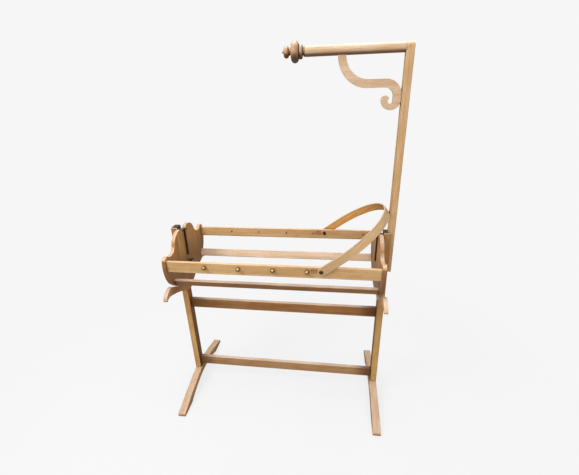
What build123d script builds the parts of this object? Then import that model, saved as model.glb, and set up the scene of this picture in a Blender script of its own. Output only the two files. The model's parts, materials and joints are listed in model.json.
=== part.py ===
from build123d import *
import os
from math import copysign, cos, radians, sin, sqrt

# A wooden cradle that swings between the two posts of a stand, with a bentwood hood hoop and a
# canopy pole. Millimetres, +Z up, +X along the cradle towards the pole, floor at Z = 0.

# ---- Driving dimensions -------------------------------------------------------------------------

mid_x = -8.0  # middle of the cradle; the pole on one end puts the whole box's centre at X = 0
fit = 0.05  # gap around a pin, a screw or a bolt in its hole
joint_gap = 0.1  # gap between two faces that meet
sides = {"left": -1, "right": 1}  # the left end lies at -X

# Cradle body
panel_inner = 450.0  # from the middle to an end panel's inner face
panel_thickness = 16.0
panel_outer = panel_inner + panel_thickness
panel_bottom = 650.0
panel_bend = 255.0  # radius of a panel's round underside
panel_peak = 931.0
notch_bottom = 895.0
rail_outer = 207.0  # from the middle plane to a top rail's outer face
rail_thickness = 13.5
rail_low = 808.0
rail_high = 853.0
rail_bead = 4.0  # radius of the bead worked along a rail's lower outer edge
rail_bead_z = 806.0
slat_width = 38.0
slat_thickness = 14.0
slat_tilt = 30.0
slat_y = 155.5
slat_z = 724.0

# Stand
post_inner = 472.0
post_thickness = 31.0
post_outer = post_inner + post_thickness
post_centre = post_inner + post_thickness / 2
post_depth = 42.0
post_low = 76.0
post_top = 932.0
post_tenon_thickness = 14.0
post_tenon_width = 26.0
post_tenon_low = 50.5
foot_inner = 466.0
foot_width = 37.0
foot_reach = 278.0
foot_arch = 44.0
foot_peg_z = 63.0
mortise_clearance = 0.2  # on every side of a tenon
mortise_floor_gap = 0.3
stretcher_height = 52.0
stretcher_depth = 18.0
lower_stretcher_z = 122.0
upper_stretcher_z = 508.0
tenon_length = 20.0
tenon_thickness = 10.0
tenon_height = 30.0
cross_arm_inner = 467.0
cross_arm_thickness = 18.0
cross_arm_outer = cross_arm_inner + cross_arm_thickness
cross_arm_low = 592.0
cross_arm_high = 645.0
cross_arm_reach = 229.0

# Pivots that the cradle hangs from
pivot_z = 918.0
pin_radius = 4.0
pin_head_radius = 7.0
pin_head = 3.0
pin_end = 437.0
split_pin_x = 440.5
split_pin_radius = 1.2
washer_radius = 8.0
washer_thickness = 1.7
collar_radius = 6.0
strap_width = 34.0
strap_thickness = 3.0
strap_low = 880.0
strap_reach = {-1: 25.0, 1: 17.0}  # shorter on the right, where the pole stands on the post
hanger_thickness = 6.0
hanger_width = 9.0
hanger_eye = 9.0
hanger_low = 786.0
hanger_screw_z = (796.0, 872.0)
lock_z = 757.0
lock_radius = 3.0
lock_travel = 5.8
lock_hub_radius = 6.0

# Canopy pole, its arm and the scroll under it
pole_inner = 490.0
pole_outer = 519.0
pole_depth = 27.0
pole_low = 740.0
pole_top = 1653.0
arm_z = 1636.0
arm_tip = 133.0
arm_tip_radius = 18.5
arm_pole_radius = 17.0
arm_tenon_radius = 9.0
arm_tenon_length = 20.0
tenon_peg_x = pole_inner + 11.0
tenon_peg_radius = 2.0
spigot_radius = 7.0
spigot_length = 22.0
scroll_width = 30.0
scroll_thickness = 16.0
scroll_start = 268.0
scroll_level = 1522.0
scroll_sweep = 100.0
scroll_drop_start = 430.0
scroll_curl_z = 1465.0
scroll_curl_radius = 21.5
scroll_eye_radius = 9.5
scroll_eye_back = 2.5  # from the curl's middle to the eye's, away from the pole
scroll_eye_drop = 4.5

# Hood hoop
hoop_pivot_x = 210.0
hoop_pivot_z = 835.0
hoop_lean = 36.5
hoop_band = 36.0
hoop_thickness = 5.0
hoop_inner = rail_outer + 1.0
hoop_outer = hoop_inner + hoop_thickness
hoop_straight = 72.0
hoop_height = 334.0
hoop_tail = 13.0
hoop_bolt_radius = 3.0
hoop_head_radius = 8.5
hoop_head_height = 6.0
hoop_nut_radius = 8.5
hoop_nut_height = 5.0
hoop_washer_radius = 9.0

# Small fastenings
screw_radius = 2.0
small_screw_radius = 1.6
peg_radius = 3.5
knob_x = (-280.0, -133.0, 13.0, 153.0)
far_knob_x = 404.0
knob_z = 834.0
knob_stem = 1.5
knob_ball = 9.0
knob_ball_z = 10.6
knob_nut_radius = 3.2
knob_nut_height = 3.0

os.makedirs("parts", exist_ok=True)


# ---- Planes, shared shapes ----------------------------------------------------------------------


def end_plane(side, distance):
    """Upright plane across one end, facing outward; its own x runs across and its own y is up."""
    return Plane(origin=(mid_x + side * distance, 0, 0), x_dir=(0, side, 0), z_dir=(side, 0, 0))


def length_plane(side):
    """Upright plane along the middle; its own x is the distance from the middle, its own y is up."""
    return Plane(origin=(mid_x, 0, 0), x_dir=(side, 0, 0), z_dir=(0, -side, 0))


def save(piece, name):
    """Label a finished piece and write it to its own file."""
    piece.part.label = name
    export_step(piece.part, f"parts/{name}.step")


def end_box(side, near, far, width, low, high, mode=Mode.ADD):
    """Square block centred across one end, from near to far of the middle."""
    with BuildSketch(end_plane(side, near)) as outline:
        with Locations((0, (low + high) / 2)):
            Rectangle(width, high - low)
    extrude(outline.sketch, amount=far - near, mode=mode)


def end_disc(side, near, far, radius, height, mode=Mode.ADD):
    """Round bar or hole running out of one end, centred across it at a height."""
    with BuildSketch(end_plane(side, near)) as outline:
        with Locations((0, height)):
            Circle(radius)
    extrude(outline.sketch, amount=far - near, mode=mode)


def ring(outer, inner, thickness):
    """Flat washer standing on Z = 0."""
    with BuildPart() as washer:
        with BuildSketch():
            Circle(outer)
            Circle(inner, mode=Mode.SUBTRACT)
        extrude(amount=thickness)
    return washer.part


def wood_screw(length, radius=screw_radius):
    """Slotted countersunk screw, its flat head's top at Z = 0 and its point down."""
    with BuildPart() as screw:
        with BuildSketch(Plane.XZ):
            with BuildLine():
                Polyline(
                    (0, 0),
                    (2 * radius, 0),
                    (radius, -radius),
                    (radius, 2 * radius - length),
                    (0, -length),
                    close=True,
                )
            make_face()
        revolve(axis=Axis.Z)
        with BuildSketch(Plane.XY):
            Rectangle(4 * radius, radius / 2)
        extrude(amount=-0.6 * radius, mode=Mode.SUBTRACT)
    return screw.part


def screw_holes(planes, length, radius=screw_radius):
    """Countersunk holes for wood screws, cut in the piece being built."""
    with Locations(*planes):
        CounterSinkHole(radius + fit, 2 * radius + fit, depth=length + joint_gap, counter_sink_angle=90)


def outward(side, distance, y, z):
    """Plane on which a fastener's head sits when it is driven in from one end of the cradle."""
    return Plane(origin=(mid_x + side * distance, y, z), z_dir=(side, 0, 0))


def inward(side, distance, z, y=0):
    """Plane on which a fastener's head sits when it is driven outward from inside the cradle."""
    return Plane(origin=(mid_x + side * distance, y, z), z_dir=(-side, 0, 0))


def beside(x, facing, distance, z):
    """Plane on a rail's face, looking out to the front (-1) or to the back (1)."""
    return Plane(origin=(mid_x + x, facing * distance, z), z_dir=(0, facing, 0))


# ---- Where the fastenings sit -------------------------------------------------------------------

rail_y = rail_outer - rail_thickness / 2
rail_z = (rail_low + rail_high) / 2
rail_screw_length = 45.0
bar_spots = [(-rail_y, rail_z), (rail_y, rail_z), (-slat_y, slat_z), (slat_y, slat_z)]
panel_screws = {side: [outward(side, panel_outer, y, z) for y, z in bar_spots] for side in sides.values()}
arm_screw_length = 30.0
arm_spots = [(-11.0, 632.0), (11.0, 606.0)]
arm_screws = {side: [inward(side, cross_arm_inner, z, y) for y, z in arm_spots] for side in sides.values()}
strap_screw_length = 18.0
strap_screws = {
    side: [
        Plane(origin=(mid_x + side * (post_inner + 10.0), 0, post_top + strap_thickness), z_dir=(0, 0, 1)),
        inward(side, post_inner, strap_low + 8.0),
    ]
    for side in sides.values()
}
hanger_screw_length = 14.0
hanger_face = panel_inner - joint_gap - hanger_thickness
hanger_screws_at = {side: [inward(side, hanger_face, z) for z in hanger_screw_z] for side in sides.values()}
pole_screw_length = 36.0
pole_screws_at = [outward(1, pole_outer, 0, z) for z in (758.0, 812.0, 866.0)]
scroll_side_screw_length = 40.0
scroll_side_screw = outward(1, pole_outer, 0, 1470.0)
scroll_top_screw_length = 50.0
scroll_top_radius = 18.1
scroll_top_screw = Plane(origin=(mid_x + scroll_start, 0, arm_z + 17.8), z_dir=(0, 0, 1))


# ---- Stand: feet, posts, cross arms, stretchers ------------------------------------------------


def make_foot(side):
    """Arched foot with a flat seat and a blind mortise for the post."""
    with BuildPart() as foot:
        with BuildSketch(end_plane(side, foot_inner)):
            with BuildLine():
                ThreePointArc((0, foot_arch), (110, 29), (190, 0))
                Line((190, 0), (foot_reach, 0))
                ThreePointArc((foot_reach, 0), (foot_reach + 1, 12), (foot_reach - 8, 19))
                ThreePointArc((foot_reach - 8, 19), (150, 51), (post_depth / 2, post_low))
                Line((post_depth / 2, post_low), (0, post_low))
                mirror(about=Plane.YZ)
            make_face()
        extrude(amount=foot_width)
        long_edges = foot.edges().filter_by(Axis.X, reverse=True).filter_by(GeomType.CIRCLE)
        fillet(long_edges.group_by(SortBy.LENGTH)[-1], radius=3)
        half_mortise = post_tenon_thickness / 2 + mortise_clearance
        mortise_width = post_tenon_width + 2 * mortise_clearance
        mortise_low = post_tenon_low - mortise_floor_gap - mortise_clearance
        mortise_near, mortise_far = post_centre - half_mortise, post_centre + half_mortise
        end_box(side, mortise_near, mortise_far, mortise_width, mortise_low, post_low, Mode.SUBTRACT)
        end_disc(side, foot_inner, foot_inner + foot_width, peg_radius + fit, foot_peg_z, Mode.SUBTRACT)
    return foot


def make_post(side):
    """Square post: foot tenon, stretcher mortises, cross-arm housing and a recess for the strap."""
    with BuildPart() as post:
        with BuildSketch(Plane.XY.offset(post_low)):
            with Locations((mid_x + side * post_centre, 0)):
                Rectangle(post_thickness, post_depth)
        extrude(amount=post_top - post_low)
        chamfer(post.faces().sort_by(Axis.Z)[-1].edges().filter_by(Axis.X), length=3)
        chamfer(post.edges().filter_by(Axis.Z), length=1.5)
        tenon_near = post_centre - post_tenon_thickness / 2
        tenon_far = post_centre + post_tenon_thickness / 2
        end_box(side, tenon_near, tenon_far, post_tenon_width, post_tenon_low, post_low)
        mortise_end = post_inner + tenon_length + mortise_floor_gap
        mortise_width = tenon_thickness + 2 * mortise_clearance
        half_mortise = tenon_height / 2 + mortise_clearance
        for height in (lower_stretcher_z, upper_stretcher_z):
            mortise_low, mortise_high = height - half_mortise, height + half_mortise
            end_box(side, post_inner, mortise_end, mortise_width, mortise_low, mortise_high, Mode.SUBTRACT)
            with Locations(beside(side * post_centre, -1, post_depth / 2, height)):
                Hole(peg_radius + fit, depth=post_depth)
        housing_low, housing_high = cross_arm_low - joint_gap, cross_arm_high + joint_gap
        housing_end = cross_arm_outer + joint_gap
        end_box(side, post_inner, housing_end, post_depth, housing_low, housing_high, Mode.SUBTRACT)
        strap_cut = strap_width + 2 * joint_gap
        strap_back = post_inner + strap_thickness + joint_gap
        end_box(side, post_inner, strap_back, strap_cut, strap_low - joint_gap, post_top, Mode.SUBTRACT)
        head_pocket = strap_back + pin_head + joint_gap
        end_disc(side, post_inner, head_pocket, pin_head_radius + 0.5, pivot_z, Mode.SUBTRACT)
        end_disc(side, tenon_near, tenon_far, peg_radius + fit, foot_peg_z, Mode.SUBTRACT)
        screw_holes(arm_screws[side], arm_screw_length)
        screw_holes(strap_screws[side], strap_screw_length)
        if side == sides["right"]:
            screw_holes(pole_screws_at, pole_screw_length)
    return post


def make_cross_arm(side):
    """Curved board housed across the post under the cradle, its two tips turned down."""
    half_post = post_depth / 2
    with BuildPart() as cross_arm:
        with BuildSketch(end_plane(side, cross_arm_inner)):
            with BuildLine():
                Line((0, cross_arm_low), (half_post, cross_arm_low))
                ThreePointArc((half_post, cross_arm_low), (108, 639), (192, 668))
                ThreePointArc((192, 668), (212, 668), (cross_arm_reach - 2, 660))
                Line((cross_arm_reach - 2, 660), (cross_arm_reach, 668))
                ThreePointArc((cross_arm_reach, 668), (199, 698), (160, 698))
                ThreePointArc((160, 698), (95, 663), (half_post, cross_arm_high))
                Line((half_post, cross_arm_high), (0, cross_arm_high))
                mirror(about=Plane.YZ)
            make_face()
        extrude(amount=cross_arm_thickness)
        screw_holes(arm_screws[side], arm_screw_length)
    return cross_arm


def make_stretcher(height):
    """Flat bar between the posts, with a pegged tenon on each end."""
    span = post_inner - joint_gap
    with BuildPart() as stretcher:
        with BuildSketch(end_plane(-1, -span)):
            with Locations((0, height)):
                Rectangle(stretcher_depth, stretcher_height)
        extrude(amount=2 * span)
        fillet(stretcher.edges().filter_by(Axis.X), radius=2)
        for side in sides.values():
            tenon_low, tenon_high = height - tenon_height / 2, height + tenon_height / 2
            end_box(side, span, post_inner + tenon_length, tenon_thickness, tenon_low, tenon_high)
            with Locations(beside(side * post_centre, -1, tenon_thickness / 2, height)):
                Hole(peg_radius + fit, depth=tenon_thickness)
    return stretcher


for word, side in sides.items():
    save(make_foot(side), f"{word}_foot")
    save(make_post(side), f"{word}_post")
    save(make_cross_arm(side), f"{word}_cross_arm")

save(make_stretcher(upper_stretcher_z), "upper_stretcher")
save(make_stretcher(lower_stretcher_z), "lower_stretcher")

with BuildPart() as stretcher_pegs:
    for height in (lower_stretcher_z, upper_stretcher_z):
        for side in sides.values():
            with Locations((mid_x + side * post_centre, 0, height)):
                Cylinder(peg_radius, post_depth, rotation=(90, 0, 0))
save(stretcher_pegs, "stretcher_pegs")

with BuildPart() as foot_pegs:
    for side in sides.values():
        with Locations((mid_x + side * (foot_inner + foot_width / 2), 0, foot_peg_z)):
            Cylinder(peg_radius, foot_width, rotation=(0, 90, 0))
save(foot_pegs, "foot_pegs")

with BuildPart() as cross_arm_screws:
    with Locations(*arm_screws[-1], *arm_screws[1]):
        add(wood_screw(arm_screw_length))
save(cross_arm_screws, "cross_arm_screws")


# ---- Pivots: strap and pin on each post, hanger bar on each end panel ---------------------------


def make_pivot_strap(side):
    """Iron strap folded over the top of a post, with the hole that carries the pivot pin."""
    top = post_top + strap_thickness
    reach = post_inner + strap_reach[side]
    with BuildPart() as strap:
        with BuildSketch(length_plane(side)):
            with BuildLine():
                Polyline(
                    (post_inner, strap_low),
                    (post_inner + strap_thickness, strap_low),
                    (post_inner + strap_thickness, post_top + joint_gap),
                    (reach, post_top + joint_gap),
                    (reach, top),
                    (post_inner, top),
                    close=True,
                )
            make_face()
        extrude(amount=strap_width / 2, both=True)
        fold = strap.edges().filter_by(Axis.Y).sort_by_distance((mid_x + side * post_inner, 0, top))[0]
        fillet(fold, radius=2.5)
        end_disc(side, post_inner, post_inner + strap_thickness, pin_radius + fit, pivot_z, Mode.SUBTRACT)
        screw_holes(strap_screws[side], strap_screw_length)
    return strap


def make_hanger(side):
    """Flat iron bar screwed to a panel's inner face, its eye hung on the pivot pin."""
    with BuildPart() as hanger:
        with BuildSketch(end_plane(side, hanger_face)) as outline:
            with Locations((0, (hanger_low + hanger_width / 2 + pivot_z) / 2)):
                Rectangle(hanger_width, pivot_z - hanger_low - hanger_width / 2)
            with Locations((0, hanger_low + hanger_width / 2)):
                Circle(hanger_width / 2)
            with Locations((0, pivot_z)):
                Circle(hanger_eye)
                Circle(pin_radius + fit, mode=Mode.SUBTRACT)
        extrude(amount=hanger_thickness)
        screw_holes(hanger_screws_at[side], hanger_screw_length, small_screw_radius)
    return hanger


def pivot_pin():
    """Headed pin: head above Z = 0, shank down, with a cross hole for the split pin."""
    head_side = post_inner + strap_thickness
    tip = pin_end - head_side
    with BuildPart() as pin:
        with BuildSketch(Plane.XZ):
            with BuildLine():
                Polyline(
                    (0, tip),
                    (pin_radius - 1, tip),
                    (pin_radius, tip + 1),
                    (pin_radius, joint_gap),
                    (pin_head_radius, joint_gap),
                    (pin_head_radius, pin_head),
                    (0, pin_head),
                    close=True,
                )
            make_face()
        revolve(axis=Axis.Z)
        with Locations(Plane(origin=(0, -pin_radius, split_pin_x - head_side), z_dir=(0, -1, 0))):
            Hole(split_pin_radius + fit, depth=2 * pin_radius)
    return pin.part


def split_pin():
    """Split pin lying along Y, with its ring at the back."""
    with BuildPart() as pin:
        Cylinder(split_pin_radius, 16, rotation=(90, 0, 0))
        with Locations((0, 9.8, 0)):
            Torus(2.6, 1.0, rotation=(0, 90, 0))
    return pin.part


for word, side in sides.items():
    save(make_pivot_strap(side), f"{word}_pivot_strap")
    save(make_hanger(side), f"{word}_hanger")

with BuildPart() as pivot_strap_screws:
    with Locations(*strap_screws[-1], *strap_screws[1]):
        add(wood_screw(strap_screw_length))
save(pivot_strap_screws, "pivot_strap_screws")

with BuildPart() as hanger_screws:
    with Locations(*hanger_screws_at[-1], *hanger_screws_at[1]):
        add(wood_screw(hanger_screw_length, small_screw_radius))
save(hanger_screws, "hanger_screws")

with BuildPart() as pivot_pins:
    for side in sides.values():
        head_plane = Plane(
            origin=(mid_x + side * (post_inner + strap_thickness), 0, pivot_z),
            x_dir=(0, 0, 1),
            z_dir=(side, 0, 0),
        )
        with Locations(head_plane):
            add(pivot_pin())
save(pivot_pins, "pivot_pins")

with BuildPart() as pivot_collars:
    with Locations(*[outward(side, panel_inner + joint_gap, 0, pivot_z) for side in sides.values()]):
        add(ring(collar_radius, pin_radius + fit, post_inner - panel_inner - 2 * joint_gap))
save(pivot_collars, "pivot_collars")

with BuildPart() as pivot_washers:
    with Locations(*[inward(side, hanger_face - joint_gap, pivot_z) for side in sides.values()]):
        add(ring(washer_radius, pin_radius + fit, washer_thickness))
save(pivot_washers, "pivot_washers")

with BuildPart() as split_pins:
    with Locations(*[(mid_x + side * split_pin_x, 0, pivot_z) for side in sides.values()]):
        add(split_pin())
save(split_pins, "split_pins")


# ---- Canopy pole, arm, finial and scroll --------------------------------------------------------

# The pole is rebated at its foot: half of it runs down the post, the rest stands on the post's top.
with BuildPart() as canopy_pole:
    with BuildSketch(length_plane(1)):
        with BuildLine():
            Polyline(
                (post_outer + joint_gap, pole_low),
                (pole_outer, pole_low),
                (pole_outer, pole_top),
                (pole_inner, pole_top),
                (pole_inner, post_top + joint_gap),
                (post_outer + joint_gap, post_top + joint_gap),
                close=True,
            )
        make_face()
    extrude(amount=pole_depth / 2, both=True)
    chamfer(canopy_pole.edges().filter_by(Axis.Z).group_by(Axis.X)[-1], length=1.5)
    head_z = pole_top - pole_depth / 2
    with BuildSketch(end_plane(1, pole_inner - 1)):
        with Locations((0, pole_low - 1)):
            Rectangle(pole_depth, head_z - pole_low + 1, align=(Align.CENTER, Align.MIN))
        with Locations((0, head_z)):
            Circle(pole_depth / 2)
    extrude(amount=pole_outer - pole_inner + 2, mode=Mode.INTERSECT)
    socket_end = pole_inner + arm_tenon_length + mortise_floor_gap
    end_disc(1, pole_inner, socket_end, arm_tenon_radius + fit, arm_z, Mode.SUBTRACT)
    with Locations(beside(tenon_peg_x, -1, pole_depth / 2, arm_z)):
        Hole(tenon_peg_radius + fit, depth=pole_depth)
    screw_holes(pole_screws_at, pole_screw_length)
    screw_holes([scroll_side_screw], scroll_side_screw_length)
save(canopy_pole, "canopy_pole")

with BuildPart() as canopy_arm:
    with BuildSketch(length_plane(1)):
        with BuildLine():
            arm_end = pole_inner - joint_gap
            Polyline(
                (arm_tip, arm_z),
                (arm_tip, arm_z + arm_tip_radius - 1.5),
                (arm_tip + 1.5, arm_z + arm_tip_radius),
                (arm_end, arm_z + arm_pole_radius),
                (arm_end, arm_z + arm_tenon_radius),
                (pole_inner + arm_tenon_length, arm_z + arm_tenon_radius),
                (pole_inner + arm_tenon_length, arm_z),
                close=True,
            )
        make_face()
    revolve(axis=Axis((mid_x, 0, arm_z), (1, 0, 0)))
    end_disc(1, arm_tip, arm_tip + spigot_length + 1, spigot_radius + fit, arm_z, Mode.SUBTRACT)
    with Locations(beside(tenon_peg_x, -1, arm_tenon_radius, arm_z)):
        Hole(tenon_peg_radius + fit, depth=2 * arm_tenon_radius)
    screw_holes([scroll_top_screw], scroll_top_screw_length)
save(canopy_arm, "canopy_arm")

with BuildPart() as arm_tenon_peg:
    with Locations((mid_x + tenon_peg_x, 0, arm_z)):
        Cylinder(tenon_peg_radius, pole_depth, rotation=(90, 0, 0))
save(arm_tenon_peg, "arm_tenon_peg")

# The finial is turned: pointed knob, waist, broad disc, ring, cove and bead, then the spigot.
with BuildPart() as finial:
    with BuildSketch(length_plane(1)):
        with BuildLine():
            tip = arm_tip - joint_gap
            Line((47, arm_z), (49, arm_z + 3))
            ThreePointArc((49, arm_z + 3), (55, arm_z + 10), (56, arm_z + 17))
            ThreePointArc((56, arm_z + 17), (64, arm_z + 21), (73, arm_z + 15))
            ThreePointArc((73, arm_z + 15), (78, arm_z + 11), (83, arm_z + 19))
            ThreePointArc((83, arm_z + 19), (96, arm_z + 38), (109, arm_z + 19))
            ThreePointArc((109, arm_z + 19), (117, arm_z + 26), (124, arm_z + 15))
            ThreePointArc((124, arm_z + 15), (126, arm_z + 13), (128, arm_z + 16))
            ThreePointArc((128, arm_z + 16), (130, arm_z + 18), (tip, arm_z + 16))
            Line((tip, arm_z + 16), (tip, arm_z + spigot_radius))
            Line((tip, arm_z + spigot_radius), (arm_tip + spigot_length, arm_z + spigot_radius))
            Line((arm_tip + spigot_length, arm_z + spigot_radius), (arm_tip + spigot_length, arm_z))
            Line((arm_tip + spigot_length, arm_z), (47, arm_z))
        make_face()
    revolve(axis=Axis((mid_x, 0, arm_z), (1, 0, 0)))
save(finial, "finial")

with BuildPart() as scroll_bracket:
    curl_side = pole_inner - joint_gap - scroll_width / 2
    bend = curl_side - scroll_drop_start
    with BuildSketch(length_plane(1)):
        with BuildLine() as middle_line:
            Line((scroll_start, arm_z), (scroll_start, scroll_level + scroll_sweep))
            CenterArc((scroll_start + scroll_sweep, scroll_level + scroll_sweep), scroll_sweep, 180, 90)
            Line((scroll_start + scroll_sweep, scroll_level), (scroll_drop_start, scroll_level))
            CenterArc((scroll_drop_start, scroll_level - bend), bend, 0, 90)
            Line((curl_side, scroll_level - bend), (curl_side, scroll_curl_z))
            CenterArc((curl_side - scroll_curl_radius, scroll_curl_z), scroll_curl_radius, 180, 180)
            offset(amount=scroll_width / 2, side=Side.BOTH)
        make_face()
    extrude(amount=scroll_thickness / 2, both=True)
    eye_x = curl_side - scroll_curl_radius - scroll_eye_back
    with Locations((mid_x + eye_x, 0, scroll_curl_z - scroll_eye_drop)):
        Cylinder(scroll_eye_radius, scroll_thickness, rotation=(90, 0, 0), mode=Mode.SUBTRACT)
    with Locations(Plane(origin=(mid_x + scroll_start, 0, arm_z), z_dir=(1, 0, 0))):
        Cylinder(scroll_top_radius, 2 * scroll_width, mode=Mode.SUBTRACT)
    with Locations((mid_x + scroll_start, 0, arm_z + 30)):
        Box(2 * scroll_width, 2 * scroll_width, 60, mode=Mode.SUBTRACT)
    screw_holes([scroll_side_screw], scroll_side_screw_length)
    screw_holes([scroll_top_screw], scroll_top_screw_length)
save(scroll_bracket, "scroll_bracket")

with BuildPart() as pole_screws:
    with Locations(*pole_screws_at):
        add(wood_screw(pole_screw_length))
save(pole_screws, "pole_screws")

with BuildPart() as scroll_screws:
    with Locations(scroll_side_screw):
        add(wood_screw(scroll_side_screw_length))
    with Locations(scroll_top_screw):
        add(wood_screw(scroll_top_screw_length))
save(scroll_screws, "scroll_screws")


# ---- Cradle body: end panels, rails, slats ------------------------------------------------------


def make_end_panel(side):
    """Shaped end: round below, a lobe each side of the notch, a shoulder under each lobe."""
    with BuildPart() as panel:
        with BuildSketch(end_plane(side, panel_inner)):
            with BuildLine():
                ThreePointArc((0, panel_bottom), (100, panel_bottom + 20.4), (190, 735))
                ThreePointArc((190, 735), (212, 787), (213, 847))
                ThreePointArc((213, 847), (208, 862), (196, 868.5))
                ThreePointArc((196, 868.5), (190, 869), (184, 866))
                ThreePointArc((184, 866), (150, 854), (108, 888))
                ThreePointArc((108, 888), (80, 921), (48, panel_peak))
                ThreePointArc((48, panel_peak), (34, 931), (25, 925))
                Line((25, 925), (6, notch_bottom + 3))
                ThreePointArc((6, notch_bottom + 3), (3.5, notch_bottom + 0.8), (0, notch_bottom))
                mirror(about=Plane.YZ)
            make_face()
        extrude(amount=panel_thickness)
        screw_holes(panel_screws[side], rail_screw_length)
        screw_holes(hanger_screws_at[side], hanger_screw_length, small_screw_radius)
        if side == sides["left"]:
            end_disc(side, panel_inner, panel_outer, lock_radius + fit, lock_z, Mode.SUBTRACT)
    return panel


def make_long_bar(y, z, width, thickness, turn, fastened):
    """Bar between the end panels, screwed through both; fastened adds the holes it needs."""
    span = panel_inner - joint_gap
    with BuildPart() as bar:
        with BuildSketch(end_plane(1, -span)):
            with Locations((y, z)):
                Rectangle(thickness, width, rotation=turn)
        extrude(amount=2 * span)
        fillet(bar.edges().filter_by(Axis.X), radius=2)
        if fastened:
            with BuildSketch(end_plane(1, -span)):
                with Locations((copysign(rail_outer + 0.5 - rail_bead, y), rail_bead_z)):
                    Circle(rail_bead)
            extrude(amount=2 * span)
        for side in sides.values():
            screw_holes([outward(side, panel_outer, y, z)], rail_screw_length)
        if fastened:
            facing = 1 if y > 0 else -1
            with Locations(*[beside(x, facing, rail_outer, knob_z) for x in fastened]):
                Hole(knob_stem + fit, depth=rail_thickness)
            with Locations(beside(hoop_pivot_x, facing, rail_outer, hoop_pivot_z)):
                Hole(hoop_bolt_radius + fit, depth=rail_thickness)
    return bar


for word, side in sides.items():
    save(make_end_panel(side), f"{word}_end_panel")

rail_width = rail_high - rail_low
back_knob_x = knob_x + (far_knob_x,)
save(make_long_bar(-rail_y, rail_z, rail_width, rail_thickness, 0, knob_x), "front_top_rail")
save(make_long_bar(rail_y, rail_z, rail_width, rail_thickness, 0, back_knob_x), "back_top_rail")
save(make_long_bar(-slat_y, slat_z, slat_width, slat_thickness, slat_tilt, ()), "front_lower_slat")
save(make_long_bar(slat_y, slat_z, slat_width, slat_thickness, -slat_tilt, ()), "back_lower_slat")

with BuildPart() as rail_screws:
    with Locations(*panel_screws[-1], *panel_screws[1]):
        add(wood_screw(rail_screw_length))
save(rail_screws, "rail_screws")


# ---- Thumbscrew that locks the cradle still -----------------------------------------------------

with BuildPart() as swing_lock_screw:
    lock_plane = inward(sides["left"], panel_inner, lock_z)
    hub_base = lock_travel + 0.7
    with BuildSketch(lock_plane.offset(-panel_thickness)):
        Circle(lock_radius)
    extrude(amount=panel_thickness + hub_base + 1)
    with BuildSketch(lock_plane.offset(hub_base)):
        Circle(lock_hub_radius)
    extrude(amount=8, taper=9)
    with BuildSketch(Plane(origin=lock_plane.origin, x_dir=(0, 1, 0), z_dir=(0, 0, 1))) as wings:
        with BuildLine():
            Line((2, -hub_base - 2), (8, -hub_base - 4))
            ThreePointArc((8, -hub_base - 4), (17, -hub_base - 9), (15, -hub_base - 16))
            ThreePointArc((15, -hub_base - 16), (8, -hub_base - 13), (3, -hub_base - 7.5))
            Line((3, -hub_base - 7.5), (2, -hub_base - 2))
        make_face()
        mirror(about=Plane.YZ)
    extrude(amount=1.4, both=True)
save(swing_lock_screw, "swing_lock_screw")


# ---- Brass knobs that hold the lining -----------------------------------------------------------


def knob():
    """Round brass knob: base on Z = 0, ball above, thin stem down through the rail."""
    neck_drop = sqrt(knob_ball**2 - 3**2)
    stem_end = -rail_thickness - knob_nut_height - 0.5
    with BuildPart() as button:
        with BuildSketch(Plane.XZ):
            with BuildLine():
                Polyline(
                    (0, knob_ball_z + knob_ball),
                    (0, stem_end),
                    (knob_stem, stem_end),
                    (knob_stem, joint_gap),
                    (5, joint_gap),
                    (5, 1.2),
                    (3, knob_ball_z - neck_drop),
                )
                ThreePointArc(
                    (3, knob_ball_z - neck_drop),
                    (knob_ball, knob_ball_z),
                    (0, knob_ball_z + knob_ball),
                )
            make_face()
        revolve(axis=Axis.Z)
    return button.part


for word, facing, places in (("front", -1, knob_x), ("back", 1, back_knob_x)):
    with BuildPart() as knobs:
        with Locations(*[beside(x, facing, rail_outer, knob_z) for x in places]):
            add(knob())
    save(knobs, f"{word}_knobs")


with BuildPart() as knob_nuts:
    knob_nut_face = rail_outer - rail_thickness - joint_gap - knob_nut_height
    for facing, places in ((-1, knob_x), (1, back_knob_x)):
        with Locations(*[beside(x, facing, knob_nut_face, knob_z) for x in places]):
            add(ring(knob_nut_radius, knob_stem + fit, knob_nut_height))
save(knob_nuts, "knob_nuts")


# ---- Hood hoop and its bolts --------------------------------------------------------------------

hoop_plane = Plane(
    origin=(mid_x + hoop_pivot_x, 0, hoop_pivot_z),
    x_dir=(0, 1, 0),
    z_dir=(sin(radians(hoop_lean)), 0, -cos(radians(hoop_lean))),
)


def hoop_outline(half, height, tail):
    """Two straight legs that run into a half ellipse, filled in; the legs end square at the tail."""
    with BuildSketch(hoop_plane, mode=Mode.PRIVATE) as shape:
        with Locations((0, (hoop_straight - tail) / 2)):
            Rectangle(2 * half, hoop_straight + tail)
        with Locations((0, hoop_straight)):
            Ellipse(half, height - hoop_straight)
        with Locations((0, -tail)):
            Rectangle(2 * half + 2, height, align=(Align.CENTER, Align.MAX), mode=Mode.SUBTRACT)
    return shape.sketch


hoop_outer_shape = hoop_outline(hoop_outer, hoop_height, hoop_tail)
hoop_inner_shape = hoop_outline(hoop_inner, hoop_height - hoop_thickness, hoop_tail + 1)

with BuildPart() as hood_hoop:
    extrude(hoop_outer_shape, amount=hoop_band / 2, both=True)
    extrude(hoop_inner_shape, amount=hoop_band / 2, both=True, mode=Mode.SUBTRACT)
    for facing in (-1, 1):
        with Locations(beside(hoop_pivot_x, facing, hoop_outer, hoop_pivot_z)):
            Hole(hoop_bolt_radius + fit, depth=hoop_thickness)
    tail_edges = hood_hoop.edges().filter_by(Axis.Y)
    chamfer(tail_edges, length=9)
save(hood_hoop, "hood_hoop")


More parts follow.
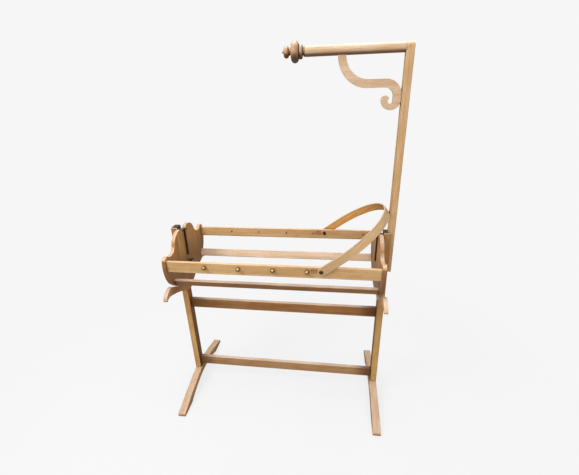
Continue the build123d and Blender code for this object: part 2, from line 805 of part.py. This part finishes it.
def hoop_bolt():
    """Domed bolt: head on Z = 0, shank down through the band, the washer and the rail."""
    length = hoop_outer - rail_outer + rail_thickness + 8
    with BuildPart() as bolt:
        with BuildSketch(Plane.XZ):
            with BuildLine():
                ThreePointArc((0, hoop_head_height), (6, 4.2), (hoop_head_radius, joint_gap))
                Polyline(
                    (hoop_head_radius, joint_gap),
                    (hoop_bolt_radius, joint_gap),
                    (hoop_bolt_radius, -length),
                    (0, -length),
                    (0, hoop_head_height),
                )
            make_face()
        revolve(axis=Axis.Z)
    return bolt.part


def hex_nut(bore):
    """Hexagon nut standing on Z = 0."""
    with BuildPart() as nut:
        with BuildSketch():
            RegularPolygon(hoop_nut_radius, 6)
            Circle(bore, mode=Mode.SUBTRACT)
        extrude(amount=hoop_nut_height)
    return nut.part


hoop_sides = (-1, 1)

with BuildPart() as hoop_bolts:
    with Locations(*[beside(hoop_pivot_x, facing, hoop_outer, hoop_pivot_z) for facing in hoop_sides]):
        add(hoop_bolt())
save(hoop_bolts, "hoop_bolts")

with BuildPart() as hoop_washers:
    with Locations(*[beside(hoop_pivot_x, facing, rail_outer + fit, hoop_pivot_z) for facing in hoop_sides]):
        add(ring(hoop_washer_radius, hoop_bolt_radius + fit, hoop_inner - rail_outer - 2 * fit))
save(hoop_washers, "hoop_washers")

nut_face = rail_outer - rail_thickness - joint_gap - hoop_nut_height
with BuildPart() as hoop_nuts:
    with Locations(*[beside(hoop_pivot_x, facing, nut_face, hoop_pivot_z) for facing in hoop_sides]):
        add(hex_nut(hoop_bolt_radius + fit))
save(hoop_nuts, "hoop_nuts")
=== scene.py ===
import json
import math

import bmesh
import bpy
from mathutils import Matrix, Vector


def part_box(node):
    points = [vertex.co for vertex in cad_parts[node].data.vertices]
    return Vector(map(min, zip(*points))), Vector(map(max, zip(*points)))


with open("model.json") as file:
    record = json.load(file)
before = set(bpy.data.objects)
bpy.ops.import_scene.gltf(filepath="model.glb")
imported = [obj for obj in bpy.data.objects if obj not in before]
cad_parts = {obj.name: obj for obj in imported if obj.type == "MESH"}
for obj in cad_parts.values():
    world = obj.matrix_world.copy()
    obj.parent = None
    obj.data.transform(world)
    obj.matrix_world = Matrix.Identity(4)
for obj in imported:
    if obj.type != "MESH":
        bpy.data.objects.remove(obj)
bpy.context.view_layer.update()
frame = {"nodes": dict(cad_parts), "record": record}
nodes = frame["nodes"]

# Where the hoop turns, read from the record, and the middle of the cradle's length.
joints = {j["name"]: j for j in frame["record"]["behaviour"]["joints"]}
hoop_pivot = Vector(joints["hoop_fold"]["pos_m"])
hoop_low, hoop_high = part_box("hood_hoop")
mid_x = (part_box("left_end_panel")[0].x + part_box("right_end_panel")[1].x) / 2


# ---- Small helpers for building shader node trees ------------------------------------------------

BEVEL_SAMPLES = 4
CREVICE_SAMPLES = 6


class Tree:
    """A material's node tree, with short calls for the nodes used below."""

    def __init__(self, name):
        self.material = bpy.data.materials.new(name)
        self.material.use_nodes = True
        self.tree = self.material.node_tree
        self.tree.nodes.clear()
        self.out = self.tree.nodes.new("ShaderNodeOutputMaterial")

    def node(self, kind, inputs=None, **settings):
        made = self.tree.nodes.new(kind)
        for key, value in settings.items():
            setattr(made, key, value)
        for key, value in (inputs or {}).items():
            self.put(made.inputs[key], value)
        return made

    def put(self, socket, value):
        if isinstance(value, bpy.types.NodeSocket):
            self.tree.links.new(value, socket)
        else:
            socket.default_value = value

    def place(self):
        """Position in the piece's own frame, in metres, so that the look moves with the piece."""
        return self.node("ShaderNodeTexCoord").outputs["Object"]

    def facing(self):
        """Direction of the surface in the piece's own frame."""
        return self.node("ShaderNodeTexCoord").outputs["Normal"]

    def math(self, operation, a, b=0.0, clamp=False):
        made = self.tree.nodes.new("ShaderNodeMath")
        made.operation = operation
        made.use_clamp = clamp
        for socket, value in zip(made.inputs, (a, b)):
            self.put(socket, value)
        return made.outputs[0]

    def plus(self, a, b, clamp=False):
        return self.math("ADD", a, b, clamp)

    def minus(self, a, b):
        return self.math("SUBTRACT", a, b)

    def times(self, a, b):
        return self.math("MULTIPLY", a, b)

    def over(self, a, b):
        return self.math("DIVIDE", a, b)

    def squares(self, a, b):
        return self.plus(self.times(a, a), self.times(b, b))

    def wobble(self, noise, amount):
        """Noise round its middle, up to half the amount either way."""
        return self.times(self.minus(noise, 0.5), amount)

    def vector(self, operation, inputs):
        return self.node("ShaderNodeVectorMath", inputs, operation=operation).outputs

    def scaled(self, vector, factor):
        return self.vector("SCALE", {0: vector, "Scale": factor})[0]

    def dot(self, a, b):
        return self.vector("DOT_PRODUCT", {0: a, 1: b})["Value"]

    def split(self, vector):
        return self.node("ShaderNodeSeparateXYZ", {0: vector}).outputs

    def join(self, x, y, z):
        return self.node("ShaderNodeCombineXYZ", {0: x, 1: y, 2: z}).outputs[0]

    def noise(self, vector, detail=2.0, rough=0.5):
        inputs = {"Vector": vector, "Scale": 1.0, "Detail": detail, "Roughness": rough, "Distortion": 0.0}
        return self.node("ShaderNodeTexNoise", inputs).outputs["Fac"]

    def ranged(self, value, low, high, to_low=0.0, to_high=1.0):
        inputs = {"Value": value, "From Min": low, "From Max": high, "To Min": to_low, "To Max": to_high}
        made = self.node("ShaderNodeMapRange", inputs)
        made.interpolation_type = "SMOOTHSTEP"
        return made.outputs["Result"]

    def mix(self, factor, a, b, blend="MIX"):
        made = self.node("ShaderNodeMix", data_type="RGBA", blend_type=blend)
        self.put(made.inputs["Factor"], factor)
        self.put(made.inputs["A"], a)
        self.put(made.inputs["B"], b)
        return made.outputs["Result"]

    def finish(self, inputs, height, bump, depth, edge=0.0):
        """Principled surface; edge rounds the shading of sharp corners by that radius."""
        bumped = self.node("ShaderNodeBump", {"Height": height, "Strength": bump, "Distance": depth})
        if edge:
            rounded = self.node("ShaderNodeBevel", {"Radius": edge}, samples=BEVEL_SAMPLES)
            self.put(bumped.inputs["Normal"], rounded.outputs[0])
        surface = self.node("ShaderNodeBsdfPrincipled", inputs)
        self.put(surface.inputs["Normal"], bumped.outputs[0])
        self.put(self.out.inputs["Surface"], surface.outputs[0])
        return self.material


def edge_mask(tree, radius, low, high):
    """1 along sharp outer and inner corners, 0 on open faces."""
    rounded = tree.node("ShaderNodeBevel", {"Radius": radius}, samples=BEVEL_SAMPLES).outputs[0]
    plain = tree.node("ShaderNodeNewGeometry").outputs["Normal"]
    return tree.ranged(tree.minus(1.0, tree.dot(rounded, plain)), low, high)


def crevice(tree, distance):
    """1 in tight inner corners and joints, 0 in the open."""
    shade = tree.node("ShaderNodeAmbientOcclusion", {"Distance": distance}, samples=CREVICE_SAMPLES)
    return tree.ranged(shade.outputs["AO"], 0.75, 0.35)


def toned(colour, factor):
    """The colour made darker or lighter."""
    return [min(1.0, part * factor) for part in colour[:3]] + [1.0]


# ---- Wood ---------------------------------------------------------------------------------------

RING = 0.0042  # width of a growth ring
PITH = (0.07, 0.05)  # how far the middle of the tree lies from the piece's own axis
PITH_STEP = 0.013  # added to the first not at all, once or twice, so that neighbours differ
GRAIN_SHIFT = 1.731  # metres between one piece's stretch of grain and the next piece's

HOOP_HALF = (hoop_high.y - hoop_low.y) / 2
HOOP_LEG = 0.072  # straight part of each leg above its bolt
HOOP_BEND = 0.24  # metres of grain to a radian of the bend
HOOP_MIDDLE = 0.35  # middle of its span, as a share of the way from the bolts to the crown

# Marks of age, painted light and painted shade, as linear colours.
# painted sheen for upward faces
TOP_SHEEN_PAINT = (0.77, 0.67, 0.585, 1.0)
# painted bounce light inside the hoop's bend
BEND_INSIDE_BOUNCE = ((0.74, 0.38, 0.105, 1.0), (0.63, 0.29, 0.065, 1.0))
# painted shade on the end panels' bellies and rims
BELLY_SHADE_BROWN = (0.17, 0.068, 0.027, 1.0)
RIM_SHADE_BROWN = (0.21, 0.09, 0.038, 1.0)
# painted shade on the posts' inner sides and tops
POST_INNER_SHADE_RED = (0.095, 0.030, 0.009, 1.0)
POST_TOP_SHADE_BROWN = (0.30, 0.115, 0.030, 1.0)
# painted shade at the stretcher ends
STRETCHER_END_SHADE = (0.075, 0.025, 0.008, 1.0)
HANDLED_PALE = (0.60, 0.42, 0.29, 1.0)
RUBBED_RED = ((0.42, 0.17, 0.07, 1.0), (0.24, 0.085, 0.035, 1.0))

# Where they begin and where they are full, in metres.
BELLY_SHADE_SPAN = (0.87, 0.75)  # height
POST_TOP_SHADE_SPAN = (0.28, 0.62)  # height
STRETCHER_END_SHADE_SPAN = (0.35, 0.468)  # distance from the middle
CROSS_ARM_TIP_SPAN = (0.15, 0.215)  # distance from the middle
RUB_MIDDLE = (hoop_pivot.x - 0.030, hoop_pivot.z + 0.001)
RUB_REACH = (0.021, 0.014)

# Slopes between which a downward face gets painted shade: upward part of its direction, start and end.
UNDERSIDE_SHADE_SLOPES = (-0.35, -0.9)
UNDERSIDE_SHADE_SLOPES_BY_PIECE = {"finial": (0.05, -0.6), "canopy_arm": (-0.25, -0.75)}


def straight_coordinates(tree, axis):
    """(along, across, across) coordinates of a straight piece, in metres."""
    x, y, z = tree.split(tree.place())
    return {"X": (x, y, z), "Y": (y, x, z), "Z": (z, x, y)}[axis]


def bent_coordinates(tree):
    """The same for the bent hoop: along runs up each leg and round the bend."""
    reach = Vector((hoop_high.x - hoop_pivot.x, 0.0, hoop_high.z - hoop_pivot.z))
    lean = reach.normalized()
    local = tree.vector("SUBTRACT", {0: tree.place(), 1: hoop_pivot})[0]
    climb = tree.minus(tree.dot(local, lean), HOOP_LEG)
    across = tree.dot(local, (-lean.z, 0.0, lean.x))
    curved = tree.over(tree.math("MAXIMUM", climb, 0.0), reach.length - HOOP_LEG)
    side = tree.over(tree.math("ABSOLUTE", tree.split(local)[1]), HOOP_HALF)
    turn = tree.math("ARCTAN2", curved, side)
    depth = tree.math("SQRT", tree.squares(curved, side))
    along = tree.plus(tree.math("MINIMUM", climb, 0.0), tree.times(turn, HOOP_BEND))
    return along, across, tree.times(depth, HOOP_HALF)


def hoop_outward(tree):
    """Direction from the middle of the hoop's span out through its band."""
    middle = hoop_pivot + HOOP_MIDDLE * (Vector((hoop_high.x, 0.0, hoop_high.z)) - hoop_pivot)
    out = tree.vector("SUBTRACT", {0: tree.place(), 1: middle})[0]
    return tree.vector("NORMALIZE", {0: out})[0]


def drawn_out(tree, point, lengthwise, crosswise):
    """Noise coordinates stretched along the grain; a higher number gives a finer pattern."""
    along, u, v = point
    return tree.join(tree.times(along, lengthwise), tree.times(u, crosswise), tree.times(v, crosswise))


def grain(tree, point, seed):
    """The piece's late wood, fibres, pores, broad patches and streaks, each from 0 to 1."""
    along, u, v = point

    # Slow wander of the grain, so that rings run out of the face now and then.
    wander = tree.noise(tree.join(tree.times(along, 2.6), tree.times(u, 6.0), seed), 1.0)
    du = tree.plus(tree.plus(u, PITH[0] + PITH_STEP * (seed % 3)), tree.wobble(wander, 0.055))
    dv = tree.plus(v, PITH[1])
    fine = tree.noise(drawn_out(tree, point, 9.0, 60.0), 3.0)
    radius = tree.plus(tree.math("SQRT", tree.squares(du, dv)), tree.wobble(fine, 0.004))
    count = tree.over(radius, RING)
    phase = tree.math("FRACT", count)
    late = tree.times(tree.ranged(phase, 0.25, 0.86), tree.ranged(phase, 0.99, 0.88))
    year = {"W": tree.math("FLOOR", count)}
    strength = tree.node("ShaderNodeTexWhiteNoise", year, noise_dimensions="1D").outputs[0]
    late = tree.times(late, tree.ranged(strength, 0.0, 1.0, 0.35, 1.0))

    fibre = tree.noise(drawn_out(tree, point, 16.0, 620.0))
    pores = tree.ranged(tree.noise(drawn_out(tree, point, 70.0, 1500.0), 1.0), 0.63, 0.72)
    patch = tree.noise(drawn_out(tree, point, 7.0, 22.0), 3.0, 0.6)
    streaks = tree.ranged(tree.noise(drawn_out(tree, point, 2.2, 75.0)), 0.34, 0.68)
    return late, fibre, pores, patch, streaks


def end_panel_painted_shade(tree, colour, facing, patch):
    """Painted shade: the bellies and the rims of the end panels are painted browner than their lobes."""
    low = tree.plus(tree.split(tree.place())[2], tree.wobble(patch, 0.06))
    painted_belly_shade = tree.ranged(low, *BELLY_SHADE_SPAN)
    colour = tree.mix(tree.times(painted_belly_shade, 0.62), colour, BELLY_SHADE_BROWN)
    endways, _, up = tree.split(facing)
    painted_rim_shade = tree.ranged(tree.math("ABSOLUTE", endways), 0.7, 0.3)
    painted_rim_shade = tree.times(painted_rim_shade, tree.ranged(up, 0.5, 0.1))
    return tree.mix(tree.times(painted_rim_shade, 0.7), colour, RIM_SHADE_BROWN)


def post_painted_shade(tree, colour, facing, height, inward_sign):
    """Painted shade: the inner side of the post, under the cradle, is painted dark red, and its top is
    painted browner.
    """
    inward = tree.times(tree.split(facing)[0], inward_sign)
    painted_inner_shade = tree.times(tree.ranged(inward, 0.4, 0.8), 0.86)
    colour = tree.mix(painted_inner_shade, colour, POST_INNER_SHADE_RED)
    painted_top_shade = tree.times(tree.ranged(height, *POST_TOP_SHADE_SPAN), 0.6)
    return tree.mix(painted_top_shade, colour, POST_TOP_SHADE_BROWN), painted_inner_shade


def rub_marks(tree, colour, fibre, streaks):
    """Ragged reddish patch beside the bolts, where the varnish is rubbed."""
    place = tree.place()
    x, _, z = tree.split(place)
    ragged = tree.noise(tree.scaled(place, 190.0), 4.0, 0.65)
    x = tree.over(tree.minus(x, RUB_MIDDLE[0]), RUB_REACH[0])
    z = tree.over(tree.minus(z, RUB_MIDDLE[1]), RUB_REACH[1])
    far = tree.plus(tree.squares(x, z), tree.wobble(ragged, 3.4))
    spot = tree.times(tree.ranged(far, 1.3, 0.1), tree.ranged(fibre, 0.25, 0.6, 0.35, 0.85))
    return tree.mix(spot, colour, tree.mix(streaks, *RUBBED_RED))


def wood(name, seed, axis, palette, gloss, figure, top_sheen):
    """Waxed hardwood: growth rings round a pith line, long fibres, pores, patches and worn edges, with
    painted sheen above and painted shade below and in the corners.
    """
    pale, glaze, deep = palette
    tree = Tree(f"wood_{name}")
    facing = tree.facing()
    up = tree.split(facing)[2]
    true_along, u, v = bent_coordinates(tree) if axis == "bent" else straight_coordinates(tree, axis)
    shift = seed * GRAIN_SHIFT
    along = tree.plus(true_along, shift)
    point = (along, u, v)
    late, fibre, pores, patch, streaks = grain(tree, point, seed)
    patches = tree.ranged(patch, 0.36, 0.66)

    colour = tree.mix(tree.times(patches, 0.75), pale, glaze)
    if axis == "bent":
        # Painted bounce light: the inside of the bend is painted a darker, more saturated orange, for
        # light bounced between its faces; the outside keeps the colour above.
        painted_bounce_inside = tree.ranged(tree.dot(facing, hoop_outward(tree)), 0.1, -0.1)
        colour = tree.mix(painted_bounce_inside, colour, tree.mix(patches, *BEND_INSIDE_BOUNCE))
    colour = tree.mix(tree.times(streaks, 0.28 * figure), colour, deep)
    colour = tree.mix(tree.times(late, 0.50 * figure), colour, deep)
    tint = tree.ranged(fibre, 0.25, 0.75, 0.86, 1.1)
    colour = tree.mix(1.0, colour, tree.join(tint, tint, tint), "MULTIPLY")
    colour = tree.mix(tree.times(pores, 0.45), colour, toned(deep, 0.45))

    # Painted sheen: upward faces are painted paler and greyer, for the light from above. Painted shade:
    # downward faces are painted dark.
    painted_top_sheen = tree.times(tree.ranged(up, 0.25, 0.95), tree.ranged(patch, 0.3, 0.7, 0.60 * top_sheen, 0.40 * top_sheen))
    colour = tree.mix(painted_top_sheen, colour, TOP_SHEEN_PAINT)
    # painted shade on downward faces
    painted_underside_shade = tree.times(tree.ranged(up, *UNDERSIDE_SHADE_SLOPES_BY_PIECE.get(name, UNDERSIDE_SHADE_SLOPES)), 0.85)
    colour = tree.mix(painted_underside_shade, colour, toned(deep, 0.5))

    dull_shade_and_dirt = 0.0  # how much of the shine painted shade and old dirt take away
    # painted shade on the end panels' bellies and rims
    if name.endswith("end_panel"):
        colour = end_panel_painted_shade(tree, colour, facing, patch)
    # painted shade on the post's inner side and top
    if name.endswith("_post"):
        inward_sign = 1.0 if name.startswith("left") else -1.0
        colour, dull_shade_and_dirt = post_painted_shade(tree, colour, facing, tree.plus(along, -shift), inward_sign)
    if name.endswith("_stretcher"):
        # Painted shade: darker and less shiny towards the posts, in the corners where the stretchers meet
        # them.
        outer = tree.math("ABSOLUTE", tree.plus(along, -shift - mid_x))
        dull_shade_and_dirt = tree.times(tree.ranged(outer, *STRETCHER_END_SHADE_SPAN), 0.8)
        colour = tree.mix(dull_shade_and_dirt, colour, STRETCHER_END_SHADE)
    if name.endswith("_cross_arm"):
        # Hands have worn the tips pale.
        outer = tree.math("ABSOLUTE", tree.plus(along, -shift))
        handled = tree.times(tree.ranged(outer, *CROSS_ARM_TIP_SPAN), 0.6)
        colour = tree.mix(handled, colour, HANDLED_PALE)
    if name.endswith("_top_rail"):
        colour = rub_marks(tree, colour, fibre, streaks)

    # Wax rubbed thin on the corners. Joints and inner corners are darker: painted shade, with old dirt in
    # the tightest joints.
    scuff = tree.noise(drawn_out(tree, point, 35.0, 90.0), 3.0)
    worn = tree.times(edge_mask(tree, 0.0022, 0.02, 0.22), tree.ranged(scuff, 0.38, 0.6))
    colour = tree.mix(tree.times(worn, 0.45), colour, toned(pale, 1.15))
    joint_dirt_and_shade = crevice(tree, 0.012)
    # painted shade within a few centimetres of inner corners
    colour = tree.mix(tree.times(crevice(tree, 0.05), 0.38), colour, toned(deep, 0.6))
    colour = tree.mix(tree.times(joint_dirt_and_shade, 0.85), colour, toned(deep, 0.2))
    dull_shade_and_dirt = tree.math("MAXIMUM", joint_dirt_and_shade, dull_shade_and_dirt)

    rough = tree.plus(gloss, tree.wobble(fibre, 0.22))
    rough = tree.plus(rough, tree.times(patches, 0.08))
    height = tree.plus(tree.times(fibre, 0.6), tree.times(late, 0.35))
    surface = {
        "Base Color": colour,
        "Roughness": tree.plus(rough, tree.times(joint_dirt_and_shade, 0.25), clamp=True),
        "Coat Weight": 0.12,
        "Coat Roughness": 0.28,
        "Specular IOR Level": tree.times(tree.minus(1.0, tree.times(dull_shade_and_dirt, 0.8)), 0.32),
    }
    return tree.finish(surface, tree.minus(height, tree.times(pores, 0.7)), 0.35, 0.0003, edge=0.0012)


# ---- Metal --------------------------------------------------------------------------------------

BARE_IRON = (0.24, 0.23, 0.21, 1.0)
RUST = (0.085, 0.038, 0.018, 1.0)
POLISHED_BRASS = (0.42, 0.31, 0.14, 1.0)
BROWNED_BRASS = (0.11, 0.065, 0.028, 1.0)


def iron(name, seed, base, sheen, rough=0.5):
    """Forged iron: dull dark skin, small hammered dents, a little brown rust in the corners."""
    tree = Tree(name)
    moved = tree.vector("ADD", {0: tree.place(), 1: (seed, seed * 0.7, 0.0)})[0]
    dents = tree.noise(tree.scaled(moved, 260.0))
    skin = tree.noise(tree.scaled(moved, 900.0), 4.0, 0.6)
    rust = tree.ranged(tree.noise(tree.scaled(moved, 140.0), 4.0, 0.65), 0.52, 0.7)
    rust = tree.math("MAXIMUM", tree.times(rust, 0.55), tree.times(crevice(tree, 0.004), 0.8))
    bright = tree.times(edge_mask(tree, 0.0008, 0.03, 0.3), tree.ranged(skin, 0.4, 0.6))
    colour = tree.mix(tree.ranged(skin, 0.3, 0.7), base, sheen)
    colour = tree.mix(bright, colour, BARE_IRON)
    surface = {
        "Base Color": tree.mix(rust, colour, RUST),
        "Roughness": tree.plus(rough, tree.times(rust, 0.3), clamp=True),
        "Metallic": tree.ranged(rust, 0.0, 0.6, 0.85, 0.2),
    }
    height = tree.plus(tree.times(dents, 0.7), tree.times(skin, 0.3))
    return tree.finish(surface, height, 0.5, 0.0004, edge=0.0005)


def brass(name):
    """Old polished brass: warm, browned towards the base and in patches."""
    tree = Tree(name)
    place = tree.place()
    patch = tree.ranged(tree.noise(tree.scaled(place, 210.0), 4.0, 0.6), 0.4, 0.68)
    scratch = tree.noise(tree.scaled(place, 2200.0))
    browned = tree.math("MAXIMUM", tree.times(patch, 0.75), crevice(tree, 0.006))
    rough = tree.plus(0.20, tree.times(browned, 0.3))
    surface = {
        "Base Color": tree.mix(browned, POLISHED_BRASS, BROWNED_BRASS),
        "Roughness": tree.plus(rough, tree.times(scratch, 0.08)),
        "Metallic": 1.0,
    }
    return tree.finish(surface, scratch, 0.15, 0.0002)


# ---- Which finish each piece takes --------------------------------------------------------------

# Each palette: open grain, varnish between, dark rings.
HONEY = ((0.69, 0.46, 0.225, 1.0), (0.61, 0.35, 0.138, 1.0), (0.28, 0.115, 0.036, 1.0))
GOLD = ((0.66, 0.42, 0.155, 1.0), (0.55, 0.29, 0.080, 1.0), (0.27, 0.115, 0.030, 1.0))
PALE = ((0.70, 0.515, 0.345, 1.0), (0.63, 0.42, 0.235, 1.0), (0.32, 0.15, 0.065, 1.0))
BEND = ((0.64, 0.43, 0.23, 1.0), (0.56, 0.35, 0.15, 1.0), (0.32, 0.16, 0.06, 1.0))
ORANGE = ((0.54, 0.29, 0.088, 1.0), (0.45, 0.185, 0.042, 1.0), (0.21, 0.078, 0.020, 1.0))
TAWNY = ((0.50, 0.29, 0.135, 1.0), (0.41, 0.215, 0.085, 1.0), (0.20, 0.085, 0.030, 1.0))
# a darker copy of the wood: painted shade for the upper stretcher, under the cradle, and the
# downward-tilted front lower slat
UMBER_SHADED = ((0.42, 0.205, 0.066, 1.0), (0.31, 0.130, 0.035, 1.0), (0.12, 0.043, 0.012, 1.0))
TURNED = ((0.72, 0.50, 0.31, 1.0), (0.52, 0.29, 0.15, 1.0), (0.12, 0.036, 0.015, 1.0))
PEG = ((0.42, 0.22, 0.085, 1.0), (0.34, 0.15, 0.05, 1.0), (0.16, 0.06, 0.02, 1.0))

# Each piece's place in this list is also its seed, so the order matters.
wood_pieces = {
    # name: (grain axis, palette, roughness, strength of figure, how strongly upward faces get the painted
    # sheen)
    "left_foot": ("Y", TAWNY, 0.46, 0.8, 0.45),
    "right_foot": ("Y", TAWNY, 0.46, 0.8, 0.45),
    "left_post": ("Z", GOLD, 0.42, 1.0, 1.0),
    "right_post": ("Z", GOLD, 0.42, 1.0, 1.0),
    "left_cross_arm": ("Y", ORANGE, 0.44, 1.0, 0.5),
    "right_cross_arm": ("Y", HONEY, 0.44, 1.0, 0.8),
    "lower_stretcher": ("X", TAWNY, 0.42, 1.0, 0.8),
    "upper_stretcher": ("X", UMBER_SHADED, 0.42, 1.1, 0.8),
    "left_end_panel": ("Z", ORANGE, 0.42, 1.1, 0.55),
    "right_end_panel": ("Z", ORANGE, 0.42, 1.1, 0.7),
    "front_top_rail": ("X", HONEY, 0.40, 0.9, 0.3),
    "back_top_rail": ("X", HONEY, 0.40, 0.9, 0.6),
    "front_lower_slat": ("X", UMBER_SHADED, 0.42, 1.0, 0.8),
    "back_lower_slat": ("X", PALE, 0.46, 1.2, 0.8),
    "canopy_pole": ("Z", HONEY, 0.42, 1.0, 0.8),
    "canopy_arm": ("X", PALE, 0.46, 1.35, 1.15),
    "scroll_bracket": ("X", PALE, 0.44, 0.8, 0.8),
    "finial": ("X", TURNED, 0.28, 0.9, 0.5),
    "hood_hoop": ("bent", BEND, 0.40, 0.7, 0.45),
    "stretcher_pegs": ("Y", PEG, 0.48, 1.0, 0.5),
    "foot_pegs": ("X", PEG, 0.48, 1.0, 0.5),
    "arm_tenon_peg": ("Y", PEG, 0.48, 1.0, 0.5),
}


def dress(name, material):
    """Puts a finish on every slot of a CAD node."""
    piece = nodes[name]
    if not piece.material_slots:
        piece.data.materials.append(material)
    for slot in piece.material_slots:
        slot.material = material


for seed, (name, finish) in enumerate(wood_pieces.items(), 1):
    dress(name, wood(name, seed, *finish))

strap_iron = iron("iron_straps", 1.0, (0.045, 0.05, 0.042, 1.0), (0.12, 0.125, 0.105, 1.0))
dark_iron = iron("iron_dark", 2.0, (0.018, 0.015, 0.013, 1.0), (0.05, 0.043, 0.036, 1.0), 0.45)
bolt_iron = iron("iron_bolts", 4.0, (0.030, 0.014, 0.008, 1.0), (0.075, 0.035, 0.02, 1.0), 0.22)
screw_steel = iron("steel_screws", 3.0, (0.07, 0.065, 0.058, 1.0), (0.17, 0.16, 0.145, 1.0), 0.42)
old_brass = brass("brass_knobs")
finishes = {
    strap_iron: ("left_pivot_strap", "right_pivot_strap", "pivot_pins", "pivot_collars"),
    dark_iron: (
        "left_hanger", "right_hanger", "pivot_washers", "split_pins", "swing_lock_screw", "knob_nuts",
    ),
    bolt_iron: ("hoop_bolts", "hoop_washers", "hoop_nuts"),
    screw_steel: (
        "pivot_strap_screws", "hanger_screws", "cross_arm_screws",
        "pole_screws", "scroll_screws", "rail_screws",
    ),
    old_brass: ("front_knobs", "back_knobs"),
}
for material, names in finishes.items():
    for name in names:
        dress(name, material)


# ---- Floor, light and camera --------------------------------------------------------------------

BACKDROP = (0.922, 0.922, 0.922, 1.0)  # what the camera sees behind and under the object, linear
FLOOR_RADIUS = 40.0
FLOOR_DROP = 0.0005  # keeps the paper just under the feet
PAPER_SPAN = (0.7, 1.9)  # distance over which the paper fades into the backdrop

TENT_COLOUR = (0.96, 0.98, 1.0, 1.0)
TENT = (0.16, 0.95)  # brightness of the light tent low down and straight above

SENSOR = 36.0
PHOTO_WIDTH = 579.0  # pixels
FOCAL = 330.49  # pixels
YAW, PITCH, ROLL = -0.1392, 0.4114, -0.0288  # radians
CAMERA_PLACE = (0.2489, -1.3761, 1.4971)  # from the middle of the cradle's length, at the floor


def plain_floor():
    """Pale paper: the camera sees faint shadows near the feet, fading into the backdrop."""
    mesh = bpy.data.meshes.new("floor")
    shape = bmesh.new()
    bmesh.ops.create_circle(shape, cap_ends=True, segments=96, radius=FLOOR_RADIUS)
    shape.to_mesh(mesh)
    shape.free()
    floor = bpy.data.objects.new("floor", mesh)
    bpy.context.scene.collection.objects.link(floor)
    floor.location.z = -FLOOR_DROP
    tree = Tree("floor_paint")
    place = tree.place()
    mottle = tree.noise(tree.scaled(place, 3.0), 4.0)
    tone = tree.ranged(mottle, 0.2, 0.8, 0.66, 0.68)
    paper = tree.node("ShaderNodeBsdfDiffuse", {"Color": tree.join(tone, tone, tone)})
    dim = tree.ranged(mottle, 0.2, 0.8, 0.30, 0.34)
    warm = tree.join(dim, tree.times(dim, 0.9), tree.times(dim, 0.8))
    bounce = tree.node("ShaderNodeBsdfDiffuse", {"Color": warm})
    glow = tree.node("ShaderNodeEmission", {"Color": BACKDROP})
    away = tree.vector("LENGTH", {0: place})["Value"]
    share = tree.ranged(away, *PAPER_SPAN, 0.80, 1.0)
    seen = tree.node("ShaderNodeMixShader", {0: share, 1: paper.outputs[0], 2: glow.outputs[0]})
    camera = tree.node("ShaderNodeLightPath").outputs["Is Camera Ray"]
    blend = tree.node("ShaderNodeMixShader", {0: camera, 1: bounce.outputs[0], 2: seen.outputs[0]})
    tree.put(tree.out.inputs["Surface"], blend.outputs[0])
    mesh.materials.append(tree.material)


def studio_world():
    """Even backdrop for the camera; for the object, a soft tent that is bright above and dim below."""
    world = bpy.data.worlds.new("studio")
    bpy.context.scene.world = world
    world.use_nodes = True
    tree = world.node_tree
    tree.nodes.clear()
    out = tree.nodes.new("ShaderNodeOutputWorld")
    seen = tree.nodes.new("ShaderNodeLightPath")
    behind = tree.nodes.new("ShaderNodeBackground")
    behind.inputs[0].default_value = BACKDROP
    around = tree.nodes.new("ShaderNodeBackground")
    around.inputs[0].default_value = TENT_COLOUR
    place = tree.nodes.new("ShaderNodeTexCoord")
    split = tree.nodes.new("ShaderNodeSeparateXYZ")
    level = tree.nodes.new("ShaderNodeMapRange")
    for socket, value in zip(level.inputs[1:5], (-0.2, 1.0, *TENT)):
        socket.default_value = value
    mix = tree.nodes.new("ShaderNodeMixShader")
    tree.links.new(place.outputs["Generated"], split.inputs[0])
    tree.links.new(split.outputs[2], level.inputs[0])
    tree.links.new(level.outputs[0], around.inputs[1])
    tree.links.new(seen.outputs["Is Camera Ray"], mix.inputs[0])
    tree.links.new(around.outputs[0], mix.inputs[1])
    tree.links.new(behind.outputs[0], mix.inputs[2])
    tree.links.new(mix.outputs[0], out.inputs["Surface"])


def soft_light(name, place, target, size, power, colour=(1.0, 1.0, 1.0)):
    data = bpy.data.lights.new(name, "AREA")
    data.shape = "SQUARE"
    data.size = size
    data.energy = power
    data.color = colour
    lamp = bpy.data.objects.new(name, data)
    bpy.context.scene.collection.objects.link(lamp)
    lamp.location = place
    aim = Vector(target) - Vector(place)
    lamp.rotation_mode = "QUATERNION"
    lamp.rotation_quaternion = aim.to_track_quat("-Z", "Y")


def matched_camera():
    """Stands in front, right of the middle, at pole height, looking down and a little to the left."""
    data = bpy.data.cameras.new("camera")
    data.sensor_width = SENSOR
    data.lens = SENSOR * FOCAL / PHOTO_WIDTH
    data.clip_end = 200.0
    camera = bpy.data.objects.new("camera", data)
    bpy.context.scene.collection.objects.link(camera)
    ahead = Vector((math.sin(YAW) * math.cos(PITCH), math.cos(YAW) * math.cos(PITCH), -math.sin(PITCH)))
    level = Vector((math.cos(YAW), -math.sin(YAW), 0.0))
    upward = level.cross(ahead)
    right = math.cos(ROLL) * level + math.sin(ROLL) * upward
    top = -math.sin(ROLL) * level + math.cos(ROLL) * upward
    turn = Matrix((right, top, -ahead)).transposed()
    place = Vector((mid_x + CAMERA_PLACE[0], *CAMERA_PLACE[1:]))
    camera.matrix_world = Matrix.Translation(place) @ turn.to_4x4()
    bpy.context.scene.camera = camera


plain_floor()
studio_world()
soft_light("key", (-1.9, -1.5, 3.3), (0.0, 0.0, 0.9), 1.5, 78.0, (1.0, 0.985, 0.96))
soft_light("top", (0.3, 0.3, 3.7), (0.0, 0.0, 0.8), 2.4, 52.0)
soft_light("front", (0.9, -3.6, 1.9), (0.0, 0.0, 0.8), 2.4, 44.0)
matched_camera()
bpy.context.scene.view_settings.view_transform = "Standard"
